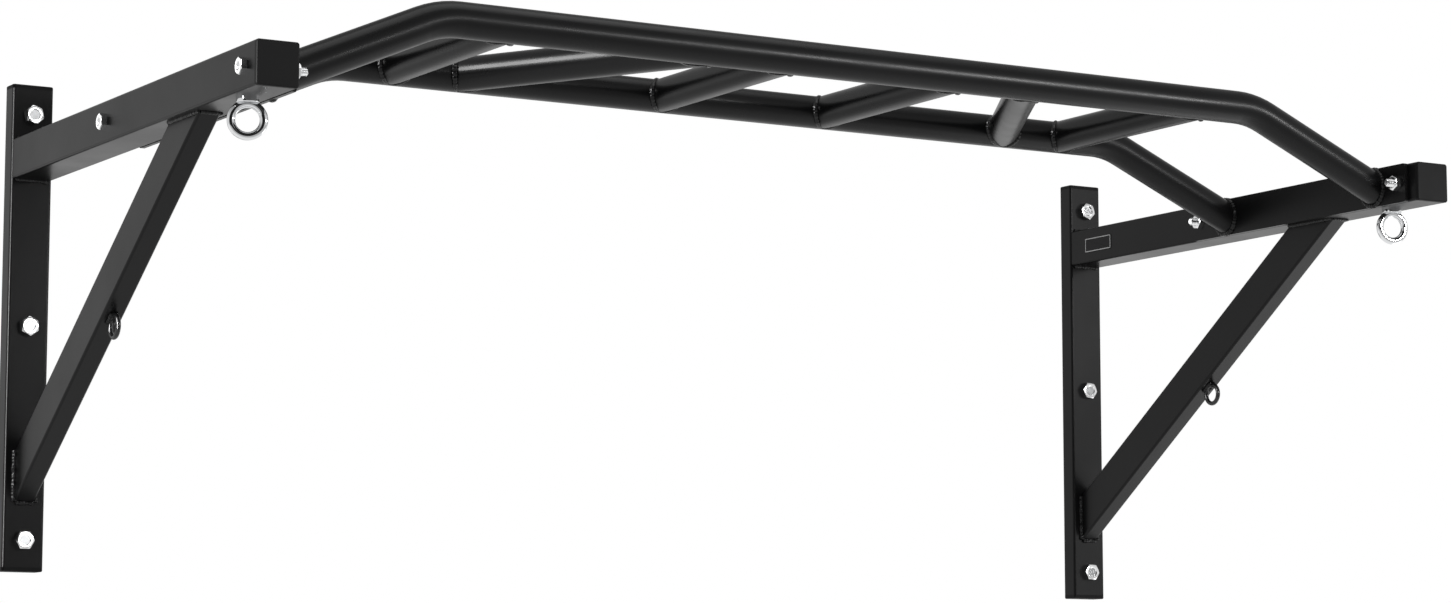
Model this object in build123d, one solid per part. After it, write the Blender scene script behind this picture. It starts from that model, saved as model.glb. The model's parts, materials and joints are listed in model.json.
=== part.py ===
from build123d import *
import math
import os

# Wall-mounted multi-grip pull-up bar: two welded wall brackets that carry a bolted grip frame.
# Millimetres, +Z up. The wall is the plane y = 0 and the object stands out from it towards -Y.
# The origin lies in the wall plane, in the middle of the six wall bolts.

# Wall brackets, rectangular steel tubes
BRACKET_SPACING = 1224.0  # between the middle planes of the two brackets
UPRIGHT_WIDTH = 40.0
UPRIGHT_DEPTH = 20.0
UPRIGHT_LENGTH = 450.0
UPRIGHT_WALL = 2.0
ARM_SIDE = 38.0  # the arm is a square tube
ARM_LENGTH = 567.0
ARM_WALL = 2.0
ARM_BELOW_TOP_BOLT = 42.5  # its axis, below the top wall bolt
BRACE_WIDTH = 20.0
BRACE_DEPTH = 40.0
BRACE_WALL = 2.0
BRACE_FOOT_HEIGHT = 35.0  # its lower edge on the upright, above the bottom wall bolt
BRACE_REACH = 452.0  # front edge under the arm, from the wall
TUBE_CORNER_RADIUS = 2.5

# Band rings, bent from rod and welded under the braces
BAND_RING_OUTER_DIAMETER = 24.0
BAND_RING_ROD_DIAMETER = 4.5
BAND_RING_ALONG_BRACE = 263.0  # from the brace's foot, along its underside

# Plastic caps pushed into the open tube ends
CAP_FLANGE = 4.0
CAP_EDGE_RADIUS = 1.5
CAP_PLUG_DEPTH = 14.0
CAP_PLUG_WALL = 1.8
CAP_CLEARANCE = 0.3
CAP_RIB_HEIGHT = 0.2
CAP_RIB_WIDTH = 1.5

# Grip frame: two bent bars with six coped grips between them, welded to a plate at each arm
PLATE_THICKNESS = 4.0
PLATE_HEIGHT = 38.0
PLATE_CORNER_RADIUS = 2.5
PLATE_END_MARGIN = 11.5  # past the middle of each arm bolt
BAR_DIAMETER = 31.8
BAR_WALL = 2.0
BAR_BEND_RADIUS = 90.0
BAR_BEND_POINT = 437.0  # where the axes of the straight stretch and the leg cross, from the middle
BAR_RISE = 66.0  # of the straight stretch above the arm's axis
REAR_BAR_REACH = 297.0  # from the wall
FRONT_BAR_SETBACK = 36.0  # behind the front arm bolt
GRIP_DIAMETER = 31.8
GRIP_WALL = 2.0
GRIP_TIP_TRIM = 1.5  # blunts the thin tips of the coped ends
WIDE_GRIP_OFFSET = 374.0  # from the middle
ANGLED_GRIP_REAR_OFFSET = 306.0
ANGLED_GRIP_FRONT_OFFSET = 172.0
NARROW_GRIP_OFFSET = 91.0

# M10 hexagon bolts into the wall
WALL_BOLT_DIAMETER = 10.0
WALL_BOLT_THREAD_DIAMETER = 9.5  # threads are left smooth, at a little under their outer size
WALL_BOLT_HEAD_FLATS = 16.0
WALL_BOLT_HEAD_HEIGHT = 6.4
WALL_BOLT_LENGTH = 40.0
WALL_BOLT_END_MARGIN = 25.0  # of the outer two of three bolts, from the upright's ends

# M8 hexagon bolts and nuts through the arms
ARM_BOLT_DIAMETER = 8.0
ARM_BOLT_THREAD_DIAMETER = 7.6
ARM_BOLT_HEAD_FLATS = 13.0
ARM_BOLT_HEAD_HEIGHT = 5.3
ARM_BOLT_LENGTH = 56.0
ARM_NUT_FLATS = 13.0
ARM_NUT_HEIGHT = 6.5
REAR_ARM_BOLT_SETBACK = 42.0  # behind the rear bar
FRONT_ARM_BOLT_MARGIN = 22.0  # from the arm's tip

# Shared by all bolts and nuts
BOLT_HOLE_CLEARANCE = 1.0
BOLT_TIP_CHAMFER = 1.0
NUT_BORE_CLEARANCE = 0.1
HEX_CHAMFER_DEPTH = 0.8

# Eye bolts under the arms, screwed into nuts inside the tube
EYE_SETBACK = 35.0  # behind the front arm bolt
EYE_OUTER_DIAMETER = 34.0
EYE_ROD_DIAMETER = 7.0
EYE_CENTRE_DROP = 18.5  # of the ring's middle, below the arm
EYE_COLLAR_DIAMETER = 19.0
EYE_COLLAR_HEIGHT = 4.5
EYE_COLLAR_EDGE = 1.0
EYE_SHANK_DIAMETER = 9.5
EYE_SHANK_MARGIN = 2.0  # past the top of its nut
EYE_NUT_FLATS = 16.0
EYE_NUT_HEIGHT = 8.4
EYE_TURN = {"left": 20.0, "right": 12.0}  # where each ring stopped when it was tightened

# Worked out from the sizes above
SIDES = {"left": -1, "right": 1}
BRACKET_OFFSET = BRACKET_SPACING / 2
WALL_BOLT_PITCH = UPRIGHT_LENGTH / 2 - WALL_BOLT_END_MARGIN
WALL_BOLT_HEIGHTS = (-WALL_BOLT_PITCH, 0.0, WALL_BOLT_PITCH)
ARM_AXIS_HEIGHT = WALL_BOLT_PITCH - ARM_BELOW_TOP_BOLT
ARM_UNDERSIDE = ARM_AXIS_HEIGHT - ARM_SIDE / 2
ARM_TIP = -UPRIGHT_DEPTH - ARM_LENGTH
PLATE_FACE = BRACKET_OFFSET - ARM_SIDE / 2 - PLATE_THICKNESS  # the side that the bars are welded to
BAR_AXIS_HEIGHT = ARM_AXIS_HEIGHT + BAR_RISE
WALL_BOLT_HOLE_RADIUS = (WALL_BOLT_DIAMETER + BOLT_HOLE_CLEARANCE) / 2
ARM_BOLT_HOLE_RADIUS = (ARM_BOLT_DIAMETER + BOLT_HOLE_CLEARANCE) / 2
EYE_HOLE_RADIUS = (EYE_SHANK_DIAMETER + BOLT_HOLE_CLEARANCE) / 2
FRONT_ARM_BOLT_REACH = -ARM_TIP - FRONT_ARM_BOLT_MARGIN
FRONT_BAR_REACH = FRONT_ARM_BOLT_REACH - FRONT_BAR_SETBACK
EYE_REACH = FRONT_ARM_BOLT_REACH - EYE_SETBACK
REAR_ARM_BOLT_REACH = REAR_BAR_REACH - REAR_ARM_BOLT_SETBACK
ARM_BOLT_REACHES = (REAR_ARM_BOLT_REACH, FRONT_ARM_BOLT_REACH)
BRACE_FOOT_DROP = WALL_BOLT_PITCH - BRACE_FOOT_HEIGHT  # below the middle wall bolt
BRACE_RUN = BRACE_REACH - UPRIGHT_DEPTH
BRACE_CLIMB = ARM_UNDERSIDE + BRACE_FOOT_DROP
BRACE_ANGLE = math.atan2(BRACE_CLIMB, BRACE_RUN)
BRACE_DIRECTION = Vector(0, -math.cos(BRACE_ANGLE), math.sin(BRACE_ANGLE))
BRACE_UPWARD = Vector(0, math.sin(BRACE_ANGLE), math.cos(BRACE_ANGLE))  # square to its underside


def rectangular_tube(plane, width, depth, wall, length):
    """A hollow rectangular tube with rounded corners, drawn on a plane and pulled along its normal."""
    inner_radius = max(TUBE_CORNER_RADIUS - wall, wall / 4)
    outside = RectangleRounded(width, depth, TUBE_CORNER_RADIUS)
    inside = RectangleRounded(width - 2 * wall, depth - 2 * wall, inner_radius)
    return extrude(plane * (outside - inside), amount=length)


def round_bar(start, end, radius):
    """A solid round bar between two points."""
    axis = end - start
    return extrude(Plane(origin=start, z_dir=axis) * Circle(radius), amount=axis.length)


def hex_prism(flats, height, chamfered_ends):
    """A hexagon standing on z = 0 whose corners are turned off at the top, or at both ends."""
    prism = extrude(RegularPolygon(flats / 2, 6, major_radius=False), amount=height)
    blank = extrude(Circle(flats / math.sqrt(3)), amount=height)
    rims = blank.edges().group_by(Axis.Z)
    blank = chamfer(rims[0] + rims[-1] if chamfered_ends == 2 else rims[-1], HEX_CHAMFER_DEPTH)
    return prism & blank


def hex_bolt(head, diameter, thread_diameter, plain_length, length):
    """A bolt whose head stands on z = 0 towards +Z, with a plain shank and then its thread pointing down."""
    thread = extrude(Circle(thread_diameter / 2), amount=-length)
    thread = chamfer(thread.edges().group_by(Axis.Z)[0], BOLT_TIP_CHAMFER)
    shank = extrude(Circle(diameter / 2), amount=-plain_length)
    return head + thread + shank


def hex_nut(flats, height, thread_diameter):
    """A nut standing on z = 0."""
    bore = extrude(Circle(thread_diameter / 2 + NUT_BORE_CLEARANCE), amount=height)
    return hex_prism(flats, height, 2) - bore


def tube_cap(width, depth, wall):
    """A plastic cap: its flange stands on z = 0 and its ribbed hollow plug points down into the tube."""
    flange = extrude(RectangleRounded(width, depth, TUBE_CORNER_RADIUS), amount=CAP_FLANGE)
    flange = fillet(flange.faces().sort_by(Axis.Z)[-1].edges(), CAP_EDGE_RADIUS)
    gap = wall + CAP_CLEARANCE
    plug_radius = max(TUBE_CORNER_RADIUS - gap, CAP_CLEARANCE)
    plug_width = width - 2 * gap
    plug_depth = depth - 2 * gap
    plug = extrude(RectangleRounded(plug_width, plug_depth, plug_radius), amount=-CAP_PLUG_DEPTH)
    rib = RectangleRounded(plug_width + 2 * CAP_RIB_HEIGHT, plug_depth + 2 * CAP_RIB_HEIGHT, plug_radius)
    for share in (1 / 3, 2 / 3):
        rib_plane = Plane((0, 0, -CAP_PLUG_DEPTH * share))
        plug += extrude(rib_plane * rib, amount=CAP_RIB_WIDTH / 2, both=True)
    hollow = Rectangle(plug_width - 2 * CAP_PLUG_WALL, plug_depth - 2 * CAP_PLUG_WALL)
    return flange + (plug - extrude(hollow, amount=-CAP_PLUG_DEPTH))


def upright(side):
    """The flat tube against the wall, drilled through for three wall bolts."""
    foot = Plane((side * BRACKET_OFFSET, -UPRIGHT_DEPTH / 2, -UPRIGHT_LENGTH / 2))
    tube = rectangular_tube(foot, UPRIGHT_WIDTH, UPRIGHT_DEPTH, UPRIGHT_WALL, UPRIGHT_LENGTH)
    for height in WALL_BOLT_HEIGHTS:
        back = Vector(side * BRACKET_OFFSET, 0, height)
        tube -= round_bar(back, back + Vector(0, -UPRIGHT_DEPTH, 0), WALL_BOLT_HOLE_RADIUS)
    return tube


def upright_cap(side, end):
    """The cap in the top (end 1) or the bottom (end -1) of an upright."""
    seat = Plane(
        (side * BRACKET_OFFSET, -UPRIGHT_DEPTH / 2, end * UPRIGHT_LENGTH / 2),
        x_dir=(1, 0, 0),
        z_dir=(0, 0, end),
    )
    return seat * tube_cap(UPRIGHT_WIDTH, UPRIGHT_DEPTH, UPRIGHT_WALL)


def arm(side):
    """The square tube that stands out from the upright, drilled for its two bolts and its eye bolt."""
    root = Plane((side * BRACKET_OFFSET, -UPRIGHT_DEPTH, ARM_AXIS_HEIGHT), x_dir=(1, 0, 0), z_dir=(0, -1, 0))
    tube = rectangular_tube(root, ARM_SIDE, ARM_SIDE, ARM_WALL, ARM_LENGTH)
    for reach in ARM_BOLT_REACHES:
        middle = Vector(side * BRACKET_OFFSET, -reach, ARM_AXIS_HEIGHT)
        half = Vector(ARM_SIDE / 2, 0, 0)
        tube -= round_bar(middle - half, middle + half, ARM_BOLT_HOLE_RADIUS)
    eye = Vector(side * BRACKET_OFFSET, -EYE_REACH, ARM_UNDERSIDE)
    return tube - round_bar(eye, eye + Vector(0, 0, ARM_SIDE / 2), EYE_HOLE_RADIUS)


def arm_end_cap(side):
    """The cap in the front end of an arm."""
    seat = Plane((side * BRACKET_OFFSET, ARM_TIP, ARM_AXIS_HEIGHT), x_dir=(1, 0, 0), z_dir=(0, -1, 0))
    return seat * tube_cap(ARM_SIDE, ARM_SIDE, ARM_WALL)


def brace_foot(side):
    """The middle of the brace's lower edge, where it meets the upright."""
    return Vector(side * BRACKET_OFFSET, -UPRIGHT_DEPTH, -BRACE_FOOT_DROP)


def brace(side):
    """The sloping tube under the arm, mitred to the upright's face and to the arm's underside."""
    spare = BRACE_DEPTH / math.tan(min(BRACE_ANGLE, math.pi / 2 - BRACE_ANGLE))
    start = brace_foot(side) + BRACE_UPWARD * (BRACE_DEPTH / 2) - BRACE_DIRECTION * spare
    length = math.hypot(BRACE_RUN, BRACE_CLIMB) + 2 * spare
    across = Plane(origin=start, x_dir=(1, 0, 0), z_dir=BRACE_DIRECTION)
    tube = rectangular_tube(across, BRACE_WIDTH, BRACE_DEPTH, BRACE_WALL, length)
    corner = Pos(side * BRACKET_OFFSET, -UPRIGHT_DEPTH, ARM_UNDERSIDE)
    room = Box(
        2 * BRACE_WIDTH,
        length,
        length,
        align=(Align.CENTER, Align.MAX, Align.MAX),
    )
    return tube & (corner * room)


def band_ring(side):
    """A closed ring of rod in the bracket's middle plane, flattened where it is welded to the brace."""
    middle_radius = (BAND_RING_OUTER_DIAMETER - BAND_RING_ROD_DIAMETER) / 2
    seat = brace_foot(side) + BRACE_DIRECTION * BAND_RING_ALONG_BRACE
    turned = Plane(origin=seat - BRACE_UPWARD * middle_radius, x_dir=BRACE_DIRECTION, z_dir=(1, 0, 0))
    ring = turned * Torus(middle_radius, BAND_RING_ROD_DIAMETER / 2)
    face = Plane(origin=seat, x_dir=(1, 0, 0), z_dir=BRACE_UPWARD)
    span = 2 * BAND_RING_OUTER_DIAMETER
    return ring - face * Box(span, span, span, align=(Align.CENTER, Align.CENTER, Align.MIN))


def mounting_plate(side):
    """The flat bar on the arm's inner face that ties the two grip bars together."""
    rear = REAR_ARM_BOLT_REACH - PLATE_END_MARGIN
    front = FRONT_ARM_BOLT_REACH + PLATE_END_MARGIN
    inner_face = Plane(
        (side * PLATE_FACE, -(rear + front) / 2, ARM_AXIS_HEIGHT),
        x_dir=(0, side, 0),
        z_dir=(side, 0, 0),
    )
    outline = RectangleRounded(front - rear, PLATE_HEIGHT, PLATE_CORNER_RADIUS)
    plate = extrude(inner_face * outline, amount=PLATE_THICKNESS)
    for reach in ARM_BOLT_REACHES:
        hole = Vector(side * PLATE_FACE, -reach, ARM_AXIS_HEIGHT)
        plate -= round_bar(hole, hole + Vector(side * PLATE_THICKNESS, 0, 0), ARM_BOLT_HOLE_RADIUS)
    return plate


def grip_bar(reach):
    """A round bar with a raised straight stretch and two legs that slope down to the plates."""
    leg_run = PLATE_FACE - BAR_BEND_POINT
    spare = BAR_DIAMETER
    tip_offset = PLATE_FACE + spare
    tip_height = ARM_AXIS_HEIGHT - BAR_RISE * spare / leg_run
    path = FilletPolyline(
        (-tip_offset, -reach, tip_height),
        (-BAR_BEND_POINT, -reach, BAR_AXIS_HEIGHT),
        (BAR_BEND_POINT, -reach, BAR_AXIS_HEIGHT),
        (tip_offset, -reach, tip_height),
        radius=BAR_BEND_RADIUS,
    )
    across = Plane(origin=path @ 0, z_dir=path % 0)
    outside = sweep(across * Circle(BAR_DIAMETER / 2), path=path)
    bore = sweep(across * Circle(BAR_DIAMETER / 2 - BAR_WALL), path=path)
    depth = 2 * BAR_DIAMETER
    height = 2 * (BAR_RISE + BAR_DIAMETER)
    between_plates = Pos(0, -reach, ARM_AXIS_HEIGHT + BAR_RISE / 2) * Box(2 * PLATE_FACE, depth, height)
    return (outside - bore) & between_plates


def grip(rear_offset, front_offset):
    """A straight round grip between the two bars, coped at both ends to sit on them."""
    rear = Vector(rear_offset, -REAR_BAR_REACH, BAR_AXIS_HEIGHT)
    front = Vector(front_offset, -FRONT_BAR_REACH, BAR_AXIS_HEIGHT)
    overrun = (front - rear).normalized() * GRIP_DIAMETER
    ends = (rear - overrun, front + overrun)
    tube = round_bar(*ends, GRIP_DIAMETER / 2) - round_bar(*ends, GRIP_DIAMETER / 2 - GRIP_WALL)
    span = FRONT_BAR_REACH - REAR_BAR_REACH
    width = abs(rear_offset - front_offset) + 2 * GRIP_DIAMETER
    centre = (rear + front) / 2
    tube &= Pos(*centre) * Box(width, span - 2 * GRIP_TIP_TRIM, 2 * GRIP_DIAMETER)
    for reach in (REAR_BAR_REACH, FRONT_BAR_REACH):
        along_bar = Vector(BAR_BEND_POINT, 0, 0)
        bar_middle = Vector(0, -reach, BAR_AXIS_HEIGHT)
        tube -= round_bar(bar_middle - along_bar, bar_middle + along_bar, BAR_DIAMETER / 2)
    return tube


def arm_hardware(side, reach):
    """One bolt through an arm and its plate, head outside, with its nut on the plate."""
    outside = Plane(
        (side * (BRACKET_OFFSET + ARM_SIDE / 2), -reach, ARM_AXIS_HEIGHT),
        x_dir=(0, 0, 1),
        z_dir=(side, 0, 0),
    )
    nut_seat = Plane((side * PLATE_FACE, -reach, ARM_AXIS_HEIGHT), x_dir=(0, 0, 1), z_dir=(-side, 0, 0))
    head = hex_prism(ARM_BOLT_HEAD_FLATS, ARM_BOLT_HEAD_HEIGHT, 1)
    plain_length = ARM_SIDE + PLATE_THICKNESS
    bolt = hex_bolt(head, ARM_BOLT_DIAMETER, ARM_BOLT_THREAD_DIAMETER, plain_length, ARM_BOLT_LENGTH)
    nut = hex_nut(ARM_NUT_FLATS, ARM_NUT_HEIGHT, ARM_BOLT_THREAD_DIAMETER)
    return outside * bolt, nut_seat * nut


def wall_bolt(side, height):
    """One bolt through an upright, with its end standing out behind for the wall anchor."""
    seat = Plane((side * BRACKET_OFFSET, -UPRIGHT_DEPTH, height), x_dir=(0, 0, 1), z_dir=(0, -1, 0))
    head = hex_prism(WALL_BOLT_HEAD_FLATS, WALL_BOLT_HEAD_HEIGHT, 1)
    bolt = hex_bolt(head, WALL_BOLT_DIAMETER, WALL_BOLT_THREAD_DIAMETER, UPRIGHT_DEPTH, WALL_BOLT_LENGTH)
    return seat * bolt


def eye_bolt(side, turn):
    """A ring below a round collar that seats on the arm's underside, with a shank up through the wall."""
    collar = extrude(Circle(EYE_COLLAR_DIAMETER / 2), amount=-EYE_COLLAR_HEIGHT)
    collar = fillet(collar.edges().group_by(Axis.Z)[0], EYE_COLLAR_EDGE)
    ring_radius = (EYE_OUTER_DIAMETER - EYE_ROD_DIAMETER) / 2
    ring = Pos(0, 0, -EYE_CENTRE_DROP) * Rot(90, 0, 0) * Torus(ring_radius, EYE_ROD_DIAMETER / 2)
    shank = extrude(Circle(EYE_SHANK_DIAMETER / 2), amount=ARM_WALL + EYE_NUT_HEIGHT + EYE_SHANK_MARGIN)
    place = Pos(side * BRACKET_OFFSET, -EYE_REACH, ARM_UNDERSIDE) * Rot(0, 0, -turn)
    return place * (collar + ring + shank)


def eye_nut(side):
    """The nut inside the arm that holds its eye bolt."""
    nut = hex_nut(EYE_NUT_FLATS, EYE_NUT_HEIGHT, EYE_SHANK_DIAMETER)
    return Pos(side * BRACKET_OFFSET, -EYE_REACH, ARM_UNDERSIDE + ARM_WALL) * nut


def build_nodes():
    """Every sub-part by its node's name."""
    nodes = {
        "front_grip_bar": grip_bar(FRONT_BAR_REACH),
        "rear_grip_bar": grip_bar(REAR_BAR_REACH),
    }
    arm_bolts = []
    arm_nuts = []
    wall_bolts = []
    eye_nuts = []
    for name, side in SIDES.items():
        nodes[f"upright_{name}"] = upright(side)
        nodes[f"upright_top_cap_{name}"] = upright_cap(side, 1)
        nodes[f"upright_bottom_cap_{name}"] = upright_cap(side, -1)
        nodes[f"arm_{name}"] = arm(side)
        nodes[f"arm_end_cap_{name}"] = arm_end_cap(side)
        nodes[f"brace_{name}"] = brace(side)
        nodes[f"band_ring_{name}"] = band_ring(side)
        nodes[f"mounting_plate_{name}"] = mounting_plate(side)
        nodes[f"wide_grip_{name}"] = grip(side * WIDE_GRIP_OFFSET, side * WIDE_GRIP_OFFSET)
        nodes[f"angled_grip_{name}"] = grip(side * ANGLED_GRIP_REAR_OFFSET, side * ANGLED_GRIP_FRONT_OFFSET)
        nodes[f"narrow_grip_{name}"] = grip(side * NARROW_GRIP_OFFSET, side * NARROW_GRIP_OFFSET)
        nodes[f"eye_bolt_{name}"] = eye_bolt(side, EYE_TURN[name])
        eye_nuts.append(eye_nut(side))
        for reach in ARM_BOLT_REACHES:
            bolt, nut = arm_hardware(side, reach)
            arm_bolts.append(bolt)
            arm_nuts.append(nut)
        wall_bolts += [wall_bolt(side, height) for height in WALL_BOLT_HEIGHTS]
    groups = {"arm_bolts": arm_bolts, "arm_nuts": arm_nuts, "wall_bolts": wall_bolts, "eye_nuts": eye_nuts}
    for name, pieces in groups.items():
        nodes[name] = Compound(children=pieces)
    return nodes


os.makedirs("parts", exist_ok=True)
for node_name, shape in build_nodes().items():
    export_step(shape, f"parts/{node_name}.step")
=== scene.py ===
import json
import math
import random

import bmesh
import bpy
from bpy.props import FloatProperty, FloatVectorProperty, PointerProperty
from mathutils import Matrix, Vector

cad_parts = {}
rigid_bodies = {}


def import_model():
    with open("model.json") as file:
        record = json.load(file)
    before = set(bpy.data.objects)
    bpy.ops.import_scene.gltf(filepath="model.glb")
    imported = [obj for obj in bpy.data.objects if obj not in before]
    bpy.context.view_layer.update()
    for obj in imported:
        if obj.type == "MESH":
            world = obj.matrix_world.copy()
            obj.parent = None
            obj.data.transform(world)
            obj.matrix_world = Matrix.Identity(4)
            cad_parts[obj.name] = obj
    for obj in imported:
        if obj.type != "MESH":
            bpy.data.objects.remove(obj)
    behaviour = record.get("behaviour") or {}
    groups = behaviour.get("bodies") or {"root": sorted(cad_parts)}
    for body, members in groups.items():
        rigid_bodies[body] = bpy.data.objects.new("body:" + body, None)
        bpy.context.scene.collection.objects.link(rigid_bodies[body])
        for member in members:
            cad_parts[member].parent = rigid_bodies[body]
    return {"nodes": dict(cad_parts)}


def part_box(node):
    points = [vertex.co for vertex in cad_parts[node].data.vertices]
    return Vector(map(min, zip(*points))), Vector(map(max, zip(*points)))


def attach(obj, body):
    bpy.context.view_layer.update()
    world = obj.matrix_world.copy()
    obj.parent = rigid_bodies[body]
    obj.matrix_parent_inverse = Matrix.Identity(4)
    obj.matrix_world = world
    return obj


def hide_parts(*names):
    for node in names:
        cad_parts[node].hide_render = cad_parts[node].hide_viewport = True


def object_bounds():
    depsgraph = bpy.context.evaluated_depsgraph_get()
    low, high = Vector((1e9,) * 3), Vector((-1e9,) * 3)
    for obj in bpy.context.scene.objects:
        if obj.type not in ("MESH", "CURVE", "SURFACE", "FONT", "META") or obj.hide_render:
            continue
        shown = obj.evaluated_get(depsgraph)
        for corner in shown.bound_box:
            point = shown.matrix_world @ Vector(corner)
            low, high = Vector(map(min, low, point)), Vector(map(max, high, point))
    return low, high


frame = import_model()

bl_info = {
    "name": "Wall pull-up bar",
    "version": (1, 0, 0),
    "blender": (4, 5, 0),
    "location": "View3D > Sidebar > Pull-up bar",
    "description": "Finishes, welds, fasteners and studio for a wall-mounted multi-grip pull-up bar",
    "category": "Object",
}

CAD_LOW, CAD_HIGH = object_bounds()
SIDES = {"left": -1, "right": 1}
MM = 0.001
IMAGE_WIDTH = 1451

# Details that all the bolts and nuts share
HEX_CHAMFER = 0.8 * MM
DISH_DEPTH = 0.7 * MM
DISH_SLOPE = 0.9 * MM
BOLT_TIP = 0.8 * MM
NUT_MOUTH = 0.4 * MM
LATHE_STEPS = 64
THREAD_CREST = 0.98
THREAD_RIDGE = 0.45
THREAD_STEPS = 20
THREAD_OVERLAP = 0.15 * MM

# How far the hexagons are turned, in degrees: wall bolts from the top down, the others from the rear
WALL_BOLT_TURNS = {"left": (12.0, 5.0, 30.0), "right": (16.0, 24.0, 27.0)}
ARM_BOLT_TURNS = {"left": (0.0, 5.0), "right": (5.0, 14.0)}
ARM_NUT_TURNS = {"left": (0.0, 14.0), "right": (20.0, 2.0)}

# How a weld bead wanders and ends, and where the bracket beads and the rings' tacks lie
BEAD_SIDES = 10
RINGS_PER_RIPPLE = 4
DRIFT_KEPT = 0.92
DRIFT_STEP = 0.09
BEAD_END_SHARE = 0.45
BRACE_DEPTH = 40.0 * MM
ARM_WELD_TUCK = 3.0 * MM
BRACE_WELD_TUCK = 1.0 * MM
HEAD_WELD_SHARE = 0.72
TACK_ASIDE = 0.9
TACK_REACH = 0.8

# The beads round the grips thin out at the top and bottom, where the surfaces run into each other
SADDLE_THINNING = 0.85
SADDLE_POWER = 8
SADDLE_EASE = 0.985

# First seed of each group of beads
ARM_ROOT_SEED = 11
FOOT_SEED = 21
FOOT_RIGHT_SEED = 23
FOOT_LEFT_SEED = 24
HEAD_SIDE_SEEDS = (30, 32)
HEAD_END_SEED = 35
LEG_SEED = 41
GRIP_SEED = 51
TACK_SEED = 61

# How far the coat's roughness strays to either side, and the share of orange peel in the grain
COAT_SMOOTHER = 0.04
COAT_ROUGHER = 0.05
PEEL_SHARE = 0.45

# The label's black rim as a share of its border, and the angle from which an edge looks sharp
LABEL_RIM_SHARE = 0.6
SHARP_ANGLE = math.radians(35.0)

# The lamps: the power's setting, then the place, the point faced and the size, in metres
LAMPS = {
    "front strip": ("front_power", (0.84, -1.55, 0.32), (0.25, -0.53, 0.22), (0.62, 0.08)),
    "dim strip": ("dim_power", (0.35, -1.8, 0.32), (-0.1, -0.53, 0.22), (0.45, 0.08)),
    "right panel": ("right_power", (2.8, -2.95, 0.35), (0.6, -0.1, 0.0), (0.9, 1.2)),
    "bolt panel": ("bolt_power", (0.45, -2.95, 0.35), (-0.6, -0.03, 0.0), (1.4, 1.8)),
    "left panel": ("left_power", (-2.3, -0.3, 0.92), (-0.24, -0.41, 0.22), (0.9, 1.0)),
    "edge light": ("edge_power", (-2.5, -1.2, 0.2), (-0.3, -0.2, 0.0), (0.35, 1.6)),
    "head panel": ("head_power", (-1.45, 1.45, 0.52), (-0.63, -0.4, 0.16), (1.6, 1.2)),
    "low panel": ("low_power", (1.44, -0.36, -0.9), (0.63, -0.27, 0.0), (1.35, 1.1)),
    "top panel": ("top_power", (0.0, -0.72, 2.15), (0.0, -0.36, 0.18), (2.3, 1.4)),
}
GLOSS_ONLY_LAMPS = ("edge light",)

# What some lamps are kept to, by how the pieces' names start; the others light everything
LIT_PIECES = {
    "right panel": ("upright_right",),
    "bolt panel": ("wall_bolts",),
    "left panel": (
        "angled_grip_left", "band_ring_left", "band_ring_right", "brace_foot_side_weld_left",
        "angled_grip_welds", "narrow_grip_welds", "wide_grip_welds", "arm_bolts", "arm_nuts",
        "blank_label"),
    "edge light": ("upright_left", "arm_left", "arm_end_cap_left", "band_ring_left"),
    "head panel": ("arm_bolts",),
}

# Where the studio's brightness in reflections changes, as parts of a direction, and the dark room's own
BACK_FADE = (-0.3, 0.35)
TOP_FADE = (0.15, 0.75)
ROOM_FADE = 0.05
ROOM_GLOW = 0.02

# The floor's painted brightness in reflections, from the front of the studio to its back, and its patch
# of painted shade behind the grips
PAINTED_FLOOR_TONES = ((-2.6, 0.5), (-0.7, 0.92), (5.4, 1.0), (7.6, 0.5))
FLOOR_SHADE_PATCH_SHIFT = (0.36, -1.25, 0.0)
FLOOR_SHADE_PATCH_SCALE = (0.9, 0.62, 0.0)
FLOOR_SHADE_PATCH_FADE = (0.6, 1.1)
FLECK_SCALE = 6.0
FLECK_SHADE = 0.97

# Places read from the frame
ARM_LOW, ARM_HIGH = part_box("arm_right")
UPRIGHT_LOW, UPRIGHT_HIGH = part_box("upright_right")
BRACE_LOW, BRACE_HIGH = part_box("brace_right")
FRONT_BAR_LOW, FRONT_BAR_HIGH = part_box("front_grip_bar")
REAR_BAR_LOW, REAR_BAR_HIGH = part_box("rear_grip_bar")
WALL_BOLT_LOW, WALL_BOLT_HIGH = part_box("wall_bolts")
ARM_BOLT_LOW, ARM_BOLT_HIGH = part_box("arm_bolts")
RING_LOW, RING_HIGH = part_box("band_ring_right")
PLATE_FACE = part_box("mounting_plate_right")[0].x
BRACKET_X = (ARM_LOW.x + ARM_HIGH.x) / 2
UPRIGHT_FACE = UPRIGHT_LOW.y
ARM_AXIS = (ARM_LOW.z + ARM_HIGH.z) / 2
BAR_RADIUS = (FRONT_BAR_HIGH.y - FRONT_BAR_LOW.y) / 2
BAR_AXIS = FRONT_BAR_HIGH.z - BAR_RADIUS
FRONT_BAR_Y = (FRONT_BAR_LOW.y + FRONT_BAR_HIGH.y) / 2
REAR_BAR_Y = (REAR_BAR_LOW.y + REAR_BAR_HIGH.y) / 2
BRACE_ANGLE = math.atan2(BRACE_HIGH.z - BRACE_LOW.z, BRACE_HIGH.y - BRACE_LOW.y)


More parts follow.
